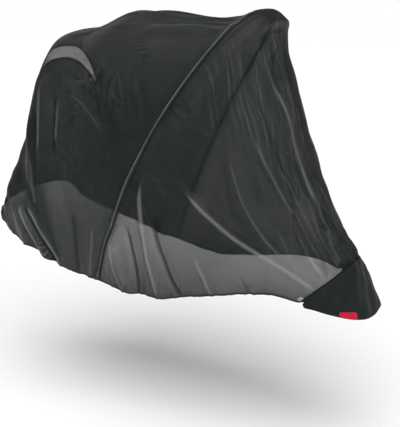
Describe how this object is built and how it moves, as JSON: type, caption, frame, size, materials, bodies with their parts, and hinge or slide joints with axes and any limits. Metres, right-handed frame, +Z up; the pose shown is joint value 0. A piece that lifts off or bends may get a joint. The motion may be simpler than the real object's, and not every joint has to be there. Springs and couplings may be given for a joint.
{
  "type": "stroller mesh cover",
  "caption": "Fitted sheer mesh cover in its worn shape: rear and front mesh panels joined by an arched seam, a woven nose, an elastic hem and a slot across the back of the roof.",
  "frame": {"origin": "just under the cloth of the roof, on the centre line, where the frame underneath holds the cover up", "axes": "+X to the front (the nose), +Y to the far side of the picture, +Z up"},
  "size_m": [1.1675, 0.5064, 0.8136],
  "materials": {
    "mesh": "sheer black polyester net",
    "nose_cloth": "opaque black woven cloth",
    "binding": "black elastic and seam tape",
    "webbing": "light grey webbing",
    "tag": "red woven tag, plain"
  },
  "bodies": {
    "root": {"rear_panel": "mesh", "front_panel": "mesh", "nose_panel": "nose_cloth", "seam_binding": "binding", "hem_binding": "binding", "slot_binding": "binding", "near_tab": "webbing", "far_tab": "webbing", "nose_tag": "tag"}
  },
  "joints": []
}
